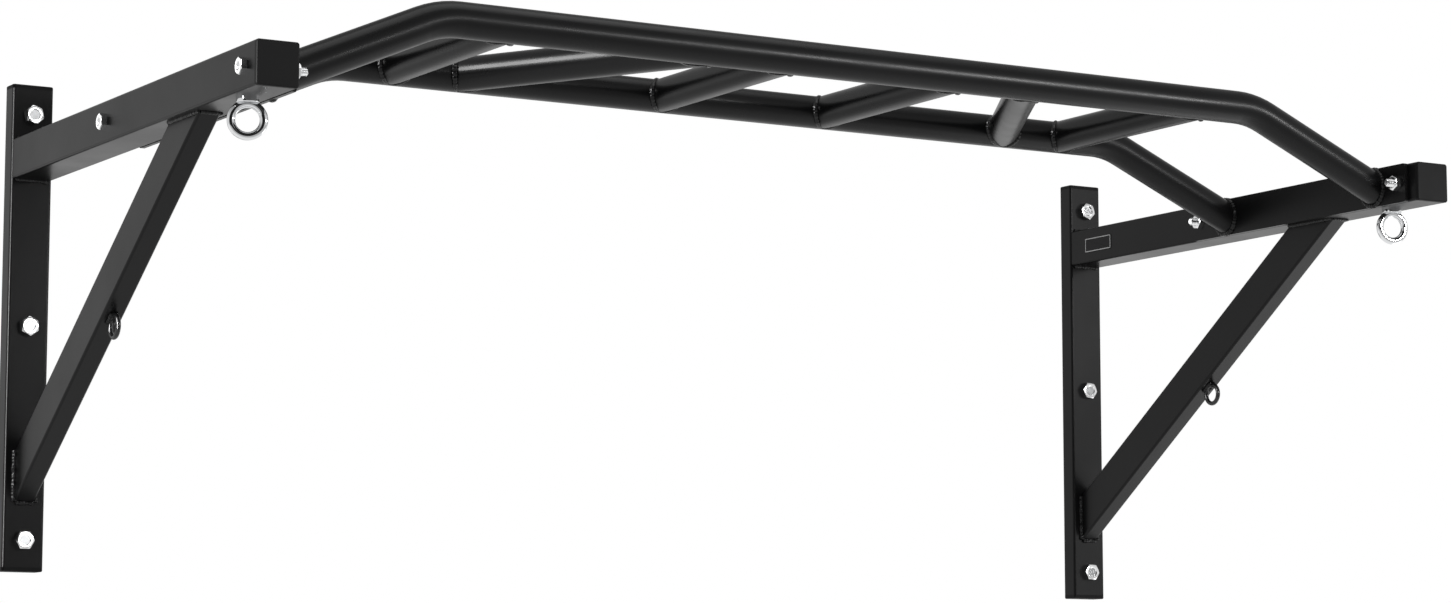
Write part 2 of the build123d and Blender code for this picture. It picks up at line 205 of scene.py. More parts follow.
class PullupFinishSettings(bpy.types.PropertyGroup):
    """Colours and grain of the finishes."""

    coat_colour: FloatVectorProperty(
        name="Powder coat", description="Colour of the satin powder coat", subtype="COLOR",
        default=(0.004, 0.004, 0.0042), min=0, max=1)
    coat_roughness: FloatProperty(
        name="Coat roughness", description="Roughness of the powder coat", default=0.32, min=0, max=1)
    grain_size: FloatProperty(
        name="Coat grain", description="Size of the grain in the powder coat", unit="LENGTH",
        default=1.1 * MM)
    plastic_colour: FloatVectorProperty(
        name="Cap plastic", description="Colour of the moulded caps", subtype="COLOR",
        default=(0.004, 0.004, 0.0042), min=0, max=1)
    zinc_colour: FloatVectorProperty(
        name="Zinc", description="Colour of the plated bolts and nuts", subtype="COLOR",
        default=(0.97, 0.975, 0.98), min=0, max=1)
    # Painted shade: the dishes' zinc is darker than the rest of the heads, standing in for shade in the
    # recess.
    dish_shade_colour: FloatVectorProperty(
        name="Dish zinc with painted shade", description="Colour of the dishes in the bolts' heads, darkened as painted shade", subtype="COLOR",
        default=(0.38, 0.385, 0.39), min=0, max=1)
    chrome_colour: FloatVectorProperty(
        name="Chrome", description="Colour of the eye bolts", subtype="COLOR",
        default=(0.80, 0.81, 0.82), min=0, max=1)
    label_border_colour: FloatVectorProperty(
        name="Label border", description="Colour of the line round the blank label", subtype="COLOR",
        default=(0.2, 0.2, 0.2), min=0, max=1)


class PullupWeldSettings(bpy.types.PropertyGroup):
    """Sizes of the weld beads."""

    seam_radius: FloatProperty(
        name="Seam bead", description="Radius of the straight bracket beads", unit="LENGTH",
        default=3.0 * MM)
    leg_radius: FloatProperty(
        name="Leg bead", description="Radius of the beads round the bar legs", unit="LENGTH",
        default=3.2 * MM)
    grip_radius: FloatProperty(
        name="Grip bead", description="Radius of the beads round the grips", unit="LENGTH",
        default=3.2 * MM)
    ripple_pitch: FloatProperty(
        name="Ripple pitch", description="Distance between two ripples of a bead", unit="LENGTH",
        default=3.0 * MM)
    ripple_depth: FloatProperty(
        name="Ripple depth", description="How far a bead narrows between two ripples", default=0.16,
        min=0, max=0.5)
    leg_slope: FloatProperty(
        name="Leg slope", description="Slope of the bars' legs", subtype="ANGLE",
        default=math.radians(23.47))
    wide_offset: FloatProperty(
        name="Wide grips", description="From the middle to a wide grip", unit="LENGTH", default=0.374)
    angled_rear_offset: FloatProperty(
        name="Angled grips, rear", description="From the middle to an angled grip's rear end",
        unit="LENGTH", default=0.306)
    angled_front_offset: FloatProperty(
        name="Angled grips, front", description="From the middle to an angled grip's front end",
        unit="LENGTH", default=0.172)
    narrow_offset: FloatProperty(
        name="Narrow grips", description="From the middle to a narrow grip", unit="LENGTH",
        default=0.091)


class PullupWallBoltSettings(bpy.types.PropertyGroup):
    """Sizes of the M10 wall bolts."""

    flats: FloatProperty(
        name="Across flats", description="Width of the hexagon", unit="LENGTH", default=16.0 * MM)
    head_height: FloatProperty(
        name="Head height", description="Height of the head", unit="LENGTH", default=6.4 * MM)
    dish_radius: FloatProperty(
        name="Dish", description="Radius of the dish pressed into the head", unit="LENGTH",
        default=5.6 * MM)
    shank_radius: FloatProperty(
        name="Shank", description="Radius of the plain shank", unit="LENGTH", default=5.0 * MM)
    core_radius: FloatProperty(
        name="Thread core", description="Radius at the bottom of the thread", unit="LENGTH",
        default=4.15 * MM)
    pitch: FloatProperty(
        name="Thread pitch", description="Distance between two turns of the thread", unit="LENGTH",
        default=1.5 * MM)


class PullupArmBoltSettings(bpy.types.PropertyGroup):
    """Sizes of the M8 arm bolts and their nuts."""

    flats: FloatProperty(
        name="Across flats", description="Width of the hexagons", unit="LENGTH", default=13.0 * MM)
    head_height: FloatProperty(
        name="Head height", description="Height of the head", unit="LENGTH", default=5.3 * MM)
    dish_radius: FloatProperty(
        name="Dish", description="Radius of the dish pressed into the head", unit="LENGTH",
        default=4.3 * MM)
    shank_radius: FloatProperty(
        name="Shank", description="Radius of the plain shank", unit="LENGTH", default=4.0 * MM)
    core_radius: FloatProperty(
        name="Thread core", description="Radius at the bottom of the thread", unit="LENGTH",
        default=3.3 * MM)
    pitch: FloatProperty(
        name="Thread pitch", description="Distance between two turns of the thread", unit="LENGTH",
        default=1.25 * MM)
    length: FloatProperty(
        name="Length", description="From under the head to the tip", unit="LENGTH", default=56.0 * MM)
    nut_height: FloatProperty(
        name="Nut height", description="Height of a nut", unit="LENGTH", default=6.5 * MM)


class PullupLabelSettings(bpy.types.PropertyGroup):
    """Size and place of the blank label."""

    length: FloatProperty(
        name="Length", description="Length along the arm", unit="LENGTH", default=47.0 * MM)
    height: FloatProperty(
        name="Height", description="Height on the arm", unit="LENGTH", default=16.0 * MM)
    thickness: FloatProperty(
        name="Thickness", description="Thickness of the label", unit="LENGTH", default=0.5 * MM)
    setback: FloatProperty(
        name="Setback", description="From the upright's face to the label", unit="LENGTH",
        default=25.5 * MM)
    border: FloatProperty(
        name="Border", description="Width of the line round the label", unit="LENGTH", default=1.0 * MM)
    corner: FloatProperty(
        name="Corner", description="Radius of the label's corners", unit="LENGTH", default=1.5 * MM)


class PullupStageSettings(bpy.types.PropertyGroup):
    """Camera, floor and lamps."""

    camera_place: FloatVectorProperty(
        name="Camera", description="Place of the camera", subtype="TRANSLATION", unit="LENGTH",
        default=(-1.7851, -3.2743, -0.3910))
    camera_turn: FloatProperty(
        name="Camera turn", description="Turn of the view to the right", subtype="ANGLE",
        default=math.radians(30.698))
    camera_tilt: FloatProperty(
        name="Camera tilt", description="Tilt of the view upwards", subtype="ANGLE",
        default=math.radians(6.956))
    focal_pixels: FloatProperty(
        name="Focal length", description="Focal length in pixels of the picture's width", default=3654.3)
    sensor: FloatProperty(name="Sensor", description="Sensor width in millimetres", default=36.0)
    floor_drop: FloatProperty(
        name="Floor", description="From the uprights' lower ends down to the floor", unit="LENGTH",
        default=0.8)
    floor_size: FloatProperty(
        name="Floor size", description="Half the width of the floor", unit="LENGTH", default=14.0)
    floor_colour: FloatVectorProperty(
        name="Floor colour", description="Colour of the floor", subtype="COLOR",
        default=(0.86, 0.86, 0.86))
    fill: FloatProperty(
        name="Fill light", description="Strength of the soft light from all round", default=0.4, min=0)
    front_glow: FloatProperty(
        name="Front glow", description="Brightness in reflections of the studio's front", default=0.75,
        min=0)
    top_glow: FloatProperty(
        name="Top glow", description="Brightness in reflections of the studio's ceiling", default=0.42,
        min=0)
    back_glow: FloatProperty(
        name="Back glow", description="Brightness in reflections of the studio's back", default=0.8,
        min=0)
    room_edge: FloatProperty(
        name="Room edge", description="Cosine of the half angle of the dark room round the camera",
        default=0.72, min=-1, max=1)
    # Painted shade: the patch behind the grips darkens only the floor's glow in reflections, not by a
    # cast shadow.
    floor_shade: FloatProperty(
        name="Floor shade", description="Brightness in reflections of the shaded floor behind the grips",
        default=0.52, min=0, max=1)
    # The floor glows: an emission, not its colour, makes its white in the picture and its tones in
    # reflections.
    floor_glow: FloatProperty(
        name="Floor glow", description="Share of the floor's look that its own glow makes up",
        default=0.6, min=0, max=1)
    front_power: FloatProperty(
        name="Front strip", description="Power of the low strip light at the front right", default=7.4,
        min=0)
    dim_power: FloatProperty(
        name="Dim strip", description="Power of the strip light that carries on to the left",
        default=1.9, min=0)
    edge_power: FloatProperty(
        name="Edge light",
        description="Power of the upright strip at the left that lines the tubes' corners",
        default=170.0, min=0)
    bolt_power: FloatProperty(
        name="Bolt panel", description="Power of the front light panel for the wall bolts' heads",
        default=27.0, min=0)
    left_power: FloatProperty(
        name="Left panel", description="Power of the soft light panel at the left", default=74.0, min=0)
    head_power: FloatProperty(
        name="Head panel",
        description="Power of the light panel behind the left, for the arm bolts' heads",
        default=5.0, min=0)
    right_power: FloatProperty(
        name="Right panel",
        description="Power of the light panel at the far right, for the right upright",
        default=9.5, min=0)
    low_power: FloatProperty(
        name="Low panel", description="Power of the light panel at the lower right", default=5.0, min=0)
    top_power: FloatProperty(
        name="Top panel", description="Power of the light panel overhead", default=14.0, min=0)


class Tree:
    """Adds nodes to a node tree and links them."""

    def __init__(self, tree):
        self.tree = tree

    def feed(self, node, inputs):
        """Gives inputs of a node, by number or by name, a link or a value."""
        for key, value in inputs.items():
            if isinstance(value, bpy.types.NodeSocket):
                self.tree.links.new(value, node.inputs[key])
            else:
                node.inputs[key].default_value = value
        return node

    def add(self, kind, inputs=None, **settings):
        """A new node with its settings and inputs."""
        node = self.tree.nodes.new(kind)
        for key, value in settings.items():
            setattr(node, key, value)
        return self.feed(node, inputs or {})

    def combine(self, operation, first, second):
        """One number made of two."""
        return self.add("ShaderNodeMath", {0: first, 1: second}, operation=operation).outputs[0]

    def blend(self, share, first, second):
        """A number between two others."""
        return self.add("ShaderNodeMix", {0: share, 2: first, 3: second}).outputs[0]

    def tint(self, share, first, second):
        """A colour between two others."""
        inputs = {0: share, 6: (*first, 1.0), 7: (*second, 1.0)}
        return self.add("ShaderNodeMix", inputs, data_type="RGBA").outputs[2]

    def fade(self, value, start, end, low, high):
        """A number that passes smoothly from low to high as a value goes from start to end."""
        inputs = {"Value": value, "From Min": start, "From Max": end, "To Min": low, "To Max": high}
        return self.add("ShaderNodeMapRange", inputs, interpolation_type="SMOOTHSTEP").outputs[0]


def grain_group():
    """Fine grain and slow patches, as a height and two masks that change over the surface."""
    name = "Surface grain"
    if name in bpy.data.node_groups:
        return bpy.data.node_groups[name]
    group = bpy.data.node_groups.new(name, "ShaderNodeTree")
    face = group.interface
    face.new_socket("Vector", in_out="INPUT", socket_type="NodeSocketVector")
    for socket in ("Grain Scale", "Patch Scale"):
        face.new_socket(socket, in_out="INPUT", socket_type="NodeSocketFloat")
    for socket in ("Height", "Speckle", "Patches"):
        face.new_socket(socket, in_out="OUTPUT", socket_type="NodeSocketFloat")
    tree = Tree(group)
    inlet = tree.add("NodeGroupInput").outputs
    place = inlet["Vector"]
    fine = tree.add("ShaderNodeTexNoise", {
        "Vector": place, "Scale": inlet["Grain Scale"], "Detail": 3.0, "Roughness": 0.62})
    peel = tree.add("ShaderNodeTexVoronoi", feature="SMOOTH_F1", inputs={
        "Vector": place, "Scale": inlet["Grain Scale"], "Smoothness": 0.6})
    patches = tree.add("ShaderNodeTexNoise", {
        "Vector": place, "Scale": inlet["Patch Scale"], "Detail": 4.0, "Roughness": 0.55})
    tree.add("NodeGroupOutput", {
        "Height": tree.blend(PEEL_SHARE, fine.outputs[0], peel.outputs["Distance"]),
        "Speckle": fine.outputs[0], "Patches": patches.outputs[0]})
    return group


def grained_material(
        name, colour, tint, roughness, grain, depth, patch_scale=9.0, metallic=0.0, specular=0.5):
    """A material with the shared grain: colour names a setting, and grain is a share of another."""
    if name in bpy.data.materials:
        return bpy.data.materials[name]
    finish = bpy.context.scene.pullup_finish
    base = getattr(finish, colour)
    material = bpy.data.materials.new(name)
    material.use_nodes = True
    tree = Tree(material.node_tree)
    place = tree.add("ShaderNodeTexCoord").outputs["Object"]
    texture = tree.add("ShaderNodeGroup", node_tree=grain_group(), inputs={
        "Vector": place, "Grain Scale": 1 / (finish.grain_size * grain),
        "Patch Scale": patch_scale}).outputs
    low, high = roughness
    spread = tree.add("ShaderNodeMapRange", {
        "Value": texture["Patches"], "From Min": 0.3, "From Max": 0.7, "To Min": low, "To Max": high})
    shade = tree.tint(texture["Speckle"], base, [channel * tint for channel in base])
    bump = tree.add("ShaderNodeBump", {"Strength": 1.0, "Distance": depth, "Height": texture["Height"]})
    tree.feed(material.node_tree.nodes["Principled BSDF"], {
        "Base Color": shade, "Roughness": spread.outputs[0], "Normal": bump.outputs[0],
        "Metallic": metallic, "Specular IOR Level": specular})
    return material


def coat_range(offset):
    """The range of the coat's roughness, moved a little for some tubes."""
    rough = bpy.context.scene.pullup_finish.coat_roughness + offset
    return rough - COAT_SMOOTHER, rough + COAT_ROUGHER


def powder_coat():
    """Satin black powder coat of the bracket tubes and plates."""
    return grained_material(
        "satin powder coat", "coat_colour", tint=1.5, roughness=coat_range(0.0), grain=1.0,
        depth=0.02 * MM, specular=0.17)


def grip_coat():
    """Powder coat with a coarser, deeper grain, on the round bars and grips."""
    return grained_material(
        "textured grip coat", "coat_colour", tint=1.9, roughness=coat_range(-0.02), grain=1.2,
        depth=0.035 * MM, patch_scale=14.0, specular=0.21)


def ring_coat():
    """Smoother, glossier coat on the small band rings."""
    return grained_material(
        "glossy ring coat", "coat_colour", tint=1.3, roughness=(0.16, 0.26), grain=1.0,
        depth=0.02 * MM, patch_scale=60.0)


def cap_plastic():
    """Matte moulded plastic of the tube caps."""
    return grained_material(
        "moulded cap plastic", "plastic_colour", tint=1.4, roughness=(0.5, 0.62), grain=0.6,
        depth=0.02 * MM, patch_scale=25.0, specular=0.15)


def zinc_plate():
    """Bright zinc plating of the bolts and nuts."""
    return grained_material(
        "bright zinc plate", "zinc_colour", tint=0.9, roughness=(0.1, 0.2), grain=0.9,
        depth=0.035 * MM, patch_scale=260.0, metallic=1.0)


def dish_shade_zinc():
    """Rougher plating in the dishes that the forging dies leave in the heads, its colour darkened as
    painted shade in the recess.
    """
    return grained_material(
        "dull zinc plate", "dish_shade_colour", tint=0.88, roughness=(0.32, 0.42), grain=0.9,
        depth=0.015 * MM, patch_scale=260.0, metallic=1.0)


def chrome_plate():
    """Polished chrome of the eye bolts."""
    return grained_material(
        "polished chrome", "chrome_colour", tint=0.96, roughness=(0.04, 0.1), grain=3.0,
        depth=0.006 * MM, patch_scale=120.0, metallic=1.0)


def coated_weld():
    """Weld bead under the powder coat, where the coat pools and shines."""
    return grained_material(
        "coated weld", "coat_colour", tint=1.6, roughness=(0.16, 0.3), grain=0.7,
        depth=0.08 * MM, patch_scale=180.0, specular=0.25)


def label_face():
    """Smooth black face of the blank label."""
    return grained_material(
        "blank label face", "plastic_colour", tint=1.2, roughness=(0.4, 0.5), grain=0.5,
        depth=0.01 * MM, patch_scale=40.0, specular=0.12)


def label_border():
    """Grey line round the blank label."""
    return grained_material(
        "label border", "label_border_colour", tint=0.9, roughness=(0.35, 0.45), grain=0.5,
        depth=0.01 * MM, patch_scale=40.0)


def both_sides(*kinds):
    """The names of the left and right nodes of some kinds."""
    return [f"{kind}_{side}" for kind in kinds for side in SIDES]


def finish_nodes(names, material):
    """Gives some of the frame's nodes a material."""
    for name in names:
        node = frame["nodes"][name]
        node.data.materials.clear()
        node.data.materials.append(material)


def finish_piece(name, bm, materials):
    """Makes an object of a mesh, at the origin, and lets it ride with the bar."""
    bmesh.ops.recalc_face_normals(bm, faces=bm.faces)
    mesh = bpy.data.meshes.new(name)
    bm.to_mesh(mesh)
    bm.free()
    for material in materials:
        mesh.materials.append(material)
    mesh.shade_smooth()
    mesh.set_sharp_from_angle(angle=SHARP_ANGLE)
    piece = bpy.data.objects.new(name, mesh)
    bpy.context.scene.collection.objects.link(piece)
    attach(piece, "root")
    return piece


def finish_weld(name, bm):
    """Makes a piece of some weld beads."""
    return finish_piece(name, bm, [coated_weld()])


def path_frames(points, closed):
    """A matrix at each point of a path, with Z along the path."""
    count = len(points)
    frames = []
    for i, point in enumerate(points):
        before = points[i - 1] if closed or i > 0 else point
        after = points[(i + 1) % count] if closed or i < count - 1 else point
        along = (after - before).normalized()
        aside = along.orthogonal() if not frames else frames[-1].to_3x3() @ Vector((1, 0, 0))
        aside = (aside - along * aside.dot(along)).normalized()
        turn = Matrix((aside, along.cross(aside), along)).transposed()
        frames.append(Matrix.Translation(point) @ turn.to_4x4())
    return frames


def add_bead(bm, points, radius, closed, seed, sizes=None):
    """Draws one weld bead along a path: a ring pulled from point to point, wider at each ripple."""
    weld = bpy.context.scene.pullup_weld
    chance = random.Random(seed)
    frames = path_frames(points, closed)
    length = 0.0
    drift = 0.0
    places = []
    for i, point in enumerate(points):
        length += (point - points[i - 1]).length if i else 0.0
        ripple = abs(math.sin(math.pi * length / weld.ripple_pitch))
        drift = DRIFT_KEPT * drift + chance.uniform(-DRIFT_STEP, DRIFT_STEP)
        swell = 1.0 - weld.ripple_depth * (1.0 - ripple) + drift
        swell *= sizes[i] if sizes else 1.0
        places.append(frames[i] @ Matrix.Scale(swell, 4))
    start = bmesh.ops.create_circle(bm, segments=BEAD_SIDES, radius=radius, matrix=places[0])
    first = list(dict.fromkeys(edge for vert in start["verts"] for edge in vert.link_edges))
    ring = first
    for before, after in zip(places, places[1:]):
        pulled = bmesh.ops.extrude_edge_only(bm, edges=ring)["geom"]
        verts = [item for item in pulled if isinstance(item, bmesh.types.BMVert)]
        new_ring = [item for item in pulled if isinstance(item, bmesh.types.BMEdge)]
        bmesh.ops.transform(bm, matrix=after @ before.inverted(), verts=verts)
        ends = set(verts)
        ring = [edge for edge in new_ring if edge.verts[0] in ends and edge.verts[1] in ends]
    if closed:
        bmesh.ops.bridge_loops(bm, edges=first + ring)
        return
    for loop in (first, ring):
        verts = list(dict.fromkeys(vert for edge in loop for vert in edge.verts))
        middle = sum((vert.co for vert in verts), Vector()) / len(verts)
        bmesh.ops.scale(bm, vec=[BEAD_END_SHARE] * 3, verts=verts, space=Matrix.Translation(-middle))
    bmesh.ops.holes_fill(bm, edges=first + ring, sides=0)


def straight(start, end, step):
    """Evenly spaced points from start to end."""
    count = max(2, round((end - start).length / step))
    return [start.lerp(end, i / count) for i in range(count + 1)]


def seam_step():
    """The spacing of a bead's rings, several to a ripple."""
    return bpy.context.scene.pullup_weld.ripple_pitch / RINGS_PER_RIPPLE


def seam_bead(bm, start, end, seed, share=1.0):
    """Draws one straight bead of a bracket."""
    line = straight(Vector(start), Vector(end), seam_step())
    add_bead(bm, line, bpy.context.scene.pullup_weld.seam_radius * share, False, seed)


def cross_bead(bm, middle, half, y, z, seed, share=1.0):
    """Draws one straight bead across a bracket."""
    seam_bead(bm, (middle - half, y, z), (middle + half, y, z), seed, share)


def add_lathe(bm, profile):
    """Turns an outline of (radius, height) points about Z."""
    verts = [bm.verts.new((radius, 0.0, height)) for radius, height in profile]
    edges = [bm.edges.new(pair) for pair in zip(verts, verts[1:])]
    bmesh.ops.spin(
        bm, geom=verts + edges, cent=(0, 0, 0), axis=(0, 0, 1), angle=math.tau, steps=LATHE_STEPS,
        use_merge=True)
    bmesh.ops.remove_doubles(bm, verts=bm.verts[:], dist=1e-6)


def cut_hexagon(bm, flats):
    """Trims a blank turned about Z to six flats and closes the cuts."""
    for k in range(6):
        way = Vector((math.cos(math.pi * k / 3), math.sin(math.pi * k / 3), 0))
        geom = bm.verts[:] + bm.edges[:] + bm.faces[:]
        cut = bmesh.ops.bisect_plane(
            bm, geom=geom, dist=1e-7, plane_co=way * flats / 2, plane_no=way, clear_outer=True)
        rim = [item for item in cut["geom_cut"] if isinstance(item, bmesh.types.BMEdge)]
        bmesh.ops.holes_fill(bm, edges=rim, sides=0)


def add_thread(bm, core, crest, pitch, start, end):
    """Winds a closed ridge round Z from one height to another."""
    half = pitch * THREAD_RIDGE
    root = core - THREAD_OVERLAP
    corners = [(root, start - half), (crest, start), (root, start + half)]
    verts = [bm.verts.new((radius, 0.0, height)) for radius, height in corners]
    face = bm.faces.new(verts)
    turns = abs(end - start) / pitch
    steps = max(8, round(turns * THREAD_STEPS))
    bmesh.ops.spin(
        bm, geom=[face], cent=(0, 0, 0), axis=(0, 0, 1), dvec=(0, 0, (end - start) / steps),
        angle=math.tau * turns, steps=steps)


def hex_bolt(bolt, plain, length):
    """A bolt with its head standing on z = 0 and its shank and thread pointing down."""
    corner = bolt.flats / math.sqrt(3)
    top = bolt.head_height
    blank = bmesh.new()
    add_lathe(blank, [
        (0.0, top - DISH_DEPTH),
        (bolt.dish_radius - DISH_SLOPE, top - DISH_DEPTH),
        (bolt.dish_radius, top),
        (corner - HEX_CHAMFER * math.sqrt(3), top),
        (corner, top - HEX_CHAMFER),
        (corner, 0.0),
        (bolt.shank_radius, 0.0),
        (bolt.shank_radius, -plain),
        (bolt.core_radius, -plain - bolt.pitch / 2),
        (bolt.core_radius, BOLT_TIP - length),
        (bolt.core_radius - BOLT_TIP, -length),
        (0.0, -length),
    ])
    cut_hexagon(blank, bolt.flats)
    for face in blank.faces:
        centre = face.calc_center_median()
        if abs(centre.z - top + DISH_DEPTH) < DISH_DEPTH / 4 and centre.xy.length < bolt.dish_radius:
            # The dish floors get the darker zinc, painted shade in the recess.
            face.material_index = 1
    crest = bolt.shank_radius * THREAD_CREST
    add_thread(blank, bolt.core_radius, crest, bolt.pitch, -plain - bolt.pitch, bolt.pitch - length)
    return blank


def hex_nut(bolt):
    """A nut standing on z = 0, its bore opened out at both ends."""
    corner = bolt.flats / math.sqrt(3)
    face = corner - HEX_CHAMFER * math.sqrt(3)
    bore = bolt.shank_radius
    top = bolt.nut_height
    blank = bmesh.new()
    add_lathe(blank, [
        (bore, NUT_MOUTH),
        (bore + NUT_MOUTH, 0.0),
        (face, 0.0),
        (corner, HEX_CHAMFER),
        (corner, top - HEX_CHAMFER),
        (face, top),
        (bore + NUT_MOUTH, top),
        (bore, top - NUT_MOUTH),
        (bore, NUT_MOUTH),
    ])
    cut_hexagon(blank, bolt.flats)
    return blank


def place_copies(shape, places):
    """One mesh that holds a copy of a shape at each of some places."""
    single = bpy.data.meshes.new("single")
    shape.to_mesh(single)
    shape.free()
    bm = bmesh.new()
    for place in places:
        before = set(bm.verts)
        bm.from_mesh(single)
        added = [vert for vert in bm.verts if vert not in before]
        bmesh.ops.transform(bm, matrix=place, verts=added)
    bpy.data.meshes.remove(single)
    return bm


def pointing(where, way, turn):
    """A place whose Z points a given way, turned about it."""
    aim = way.to_track_quat("Z", "Y").to_matrix().to_4x4()
    return Matrix.Translation(where) @ aim @ Matrix.Rotation(turn, 4, "Z")


def looking(where, way):
    """A place whose -Z looks a given way."""
    return Matrix.Translation(where) @ way.to_track_quat("-Z", "Y").to_matrix().to_4x4()


class PULLUP_OT_finish_brackets(bpy.types.Operator):
    """Coat the uprights, arms, braces and plates"""

    bl_idname = "pullup.finish_brackets"
    bl_label = "Coat the brackets"

    def execute(self, context):
        finish_nodes(both_sides("upright", "arm", "brace", "mounting_plate"), powder_coat())
        return {"FINISHED"}


class PULLUP_OT_finish_grips(bpy.types.Operator):
    """Coat the two bent bars and the six grips"""

    bl_idname = "pullup.finish_grips"
    bl_label = "Coat the grips"

    def execute(self, context):
        grips = both_sides("wide_grip", "angled_grip", "narrow_grip")
        finish_nodes(["front_grip_bar", "rear_grip_bar"] + grips, grip_coat())
        return {"FINISHED"}


class PULLUP_OT_finish_caps(bpy.types.Operator):
    """Give the tube caps their moulded plastic"""

    bl_idname = "pullup.finish_caps"
    bl_label = "Finish the caps"

    def execute(self, context):
        finish_nodes(both_sides("upright_top_cap", "upright_bottom_cap", "arm_end_cap"), cap_plastic())
        return {"FINISHED"}


class PULLUP_OT_finish_rings(bpy.types.Operator):
    """Coat the band rings and plate the eye bolts and their hidden nuts"""

    bl_idname = "pullup.finish_rings"
    bl_label = "Finish the rings and eyes"

    def execute(self, context):
        finish_nodes(both_sides("band_ring"), ring_coat())
        finish_nodes(both_sides("eye_bolt"), chrome_plate())
        finish_nodes(["eye_nuts"], zinc_plate())
        return {"FINISHED"}


class PULLUP_OT_wall_bolts(bpy.types.Operator):
    """Model the dished and threaded wall bolts"""

    bl_idname = "pullup.wall_bolts"
    bl_label = "Wall bolts"

    def execute(self, context):
        bolt = context.scene.pullup_wall_bolt
        half_height = (WALL_BOLT_HIGH.z - WALL_BOLT_LOW.z) / 2 - bolt.flats / math.sqrt(3)
        places = []
        for name, side in SIDES.items():
            for level, turn in zip((1, 0, -1), WALL_BOLT_TURNS[name]):
                where = Vector((side * BRACKET_X, UPRIGHT_FACE, level * half_height))
                places.append(pointing(where, Vector((0, -1, 0)), math.radians(turn)))
        shape = hex_bolt(bolt, UPRIGHT_HIGH.y - UPRIGHT_LOW.y, WALL_BOLT_HIGH.y - UPRIGHT_LOW.y)
        materials = [zinc_plate(), dish_shade_zinc()]
        piece = finish_piece("wall_bolts_detailed", place_copies(shape, places), materials)
        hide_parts("wall_bolts")
        return {"FINISHED"}


class PULLUP_OT_arm_bolts(bpy.types.Operator):
    """Model the dished and threaded arm bolts with their nuts"""

    bl_idname = "pullup.arm_bolts"
    bl_label = "Arm bolts and nuts"

    def execute(self, context):
        bolt = context.scene.pullup_arm_bolt
        reaches = (ARM_BOLT_HIGH.y - bolt.flats / 2, ARM_BOLT_LOW.y + bolt.flats / 2)
        bolts = []
        nuts = []
        for name, side in SIDES.items():
            outwards = Vector((side, 0, 0))
            for reach, head_turn, nut_turn in zip(reaches, ARM_BOLT_TURNS[name], ARM_NUT_TURNS[name]):
                head = Vector((side * ARM_HIGH.x, reach, ARM_AXIS))
                bolts.append(pointing(head, outwards, math.radians(head_turn)))
                seat = Vector((side * PLATE_FACE, reach, ARM_AXIS))
                nuts.append(pointing(seat, -outwards, math.radians(nut_turn)))
        shape = hex_bolt(bolt, ARM_HIGH.x - PLATE_FACE, bolt.length)
        materials = [zinc_plate(), dish_shade_zinc()]
        piece = finish_piece("arm_bolts_detailed", place_copies(shape, bolts), materials)
        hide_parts("arm_bolts")
        copies = place_copies(hex_nut(bolt), nuts)
        piece = finish_piece("arm_nuts_detailed", copies, [zinc_plate()])
        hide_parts("arm_nuts")
        return {"FINISHED"}


class PULLUP_OT_bracket_welds(bpy.types.Operator):
    """Weld each arm and brace to its upright, and each brace to its arm"""

    bl_idname = "pullup.bracket_welds"
    bl_label = "Bracket welds"

    def execute(self, context):
        arm_half = (ARM_HIGH.x - ARM_LOW.x) / 2 - ARM_WELD_TUCK
        brace_half = (BRACE_HIGH.x - BRACE_LOW.x) / 2
        brace_end_half = brace_half - BRACE_WELD_TUCK
        low = BRACE_LOW.z
        high = BRACE_LOW.z + BRACE_DEPTH / math.cos(BRACE_ANGLE)
        front = BRACE_LOW.y
        rear = BRACE_LOW.y + BRACE_DEPTH / math.sin(BRACE_ANGLE)
        for name, side in SIDES.items():
            middle = side * BRACKET_X
            left = middle - brace_half
            right = middle + brace_half
            root = bmesh.new()
            for seed, z in enumerate((ARM_LOW.z, ARM_HIGH.z), ARM_ROOT_SEED):
                cross_bead(root, middle, arm_half, UPRIGHT_FACE, z, seed)
            finish_weld(f"arm_root_welds_{name}", root)
            foot = bmesh.new()
            for seed, z in enumerate((low, high), FOOT_SEED):
                cross_bead(foot, middle, brace_end_half, UPRIGHT_FACE, z, seed)
            seam_bead(foot, (right, UPRIGHT_FACE, low), (right, UPRIGHT_FACE, high), FOOT_RIGHT_SEED)
            finish_weld(f"brace_foot_welds_{name}", foot)
            foot_side = bmesh.new()
            seam_bead(foot_side, (left, UPRIGHT_FACE, low), (left, UPRIGHT_FACE, high), FOOT_LEFT_SEED)
            finish_weld(f"brace_foot_side_weld_{name}", foot_side)
            head = bmesh.new()
            for seed, x in zip(HEAD_SIDE_SEEDS, (left, right)):
                seam_bead(head, (x, front, ARM_LOW.z), (x, rear, ARM_LOW.z), seed, HEAD_WELD_SHARE)
            for seed, y in enumerate((front, rear), HEAD_END_SEED):
                cross_bead(head, middle, brace_end_half, y, ARM_LOW.z, seed, HEAD_WELD_SHARE)
            finish_weld(f"brace_head_welds_{name}", head)
        return {"FINISHED"}


class PULLUP_OT_leg_welds(bpy.types.Operator):
    """Weld the legs of the two bars to the plates, right round"""

    bl_idname = "pullup.leg_welds"
    bl_label = "Leg welds"

    def execute(self, context):
        weld = context.scene.pullup_weld
        tall = BAR_RADIUS / math.cos(weld.leg_slope)
        count = round(math.tau * BAR_RADIUS / seam_step())
        for name, side in SIDES.items():
            beads = bmesh.new()
            for seed, reach in enumerate((REAR_BAR_Y, FRONT_BAR_Y), LEG_SEED):
                ring = []
                for i in range(count):
                    turn = math.tau * i / count
                    aside = Vector((0, BAR_RADIUS * math.cos(turn), tall * math.sin(turn)))
                    ring.append(Vector((side * PLATE_FACE, reach, ARM_AXIS)) + aside)
                add_bead(beads, ring, weld.leg_radius, True, seed)
            finish_weld(f"leg_welds_{name}", beads)
        return {"FINISHED"}


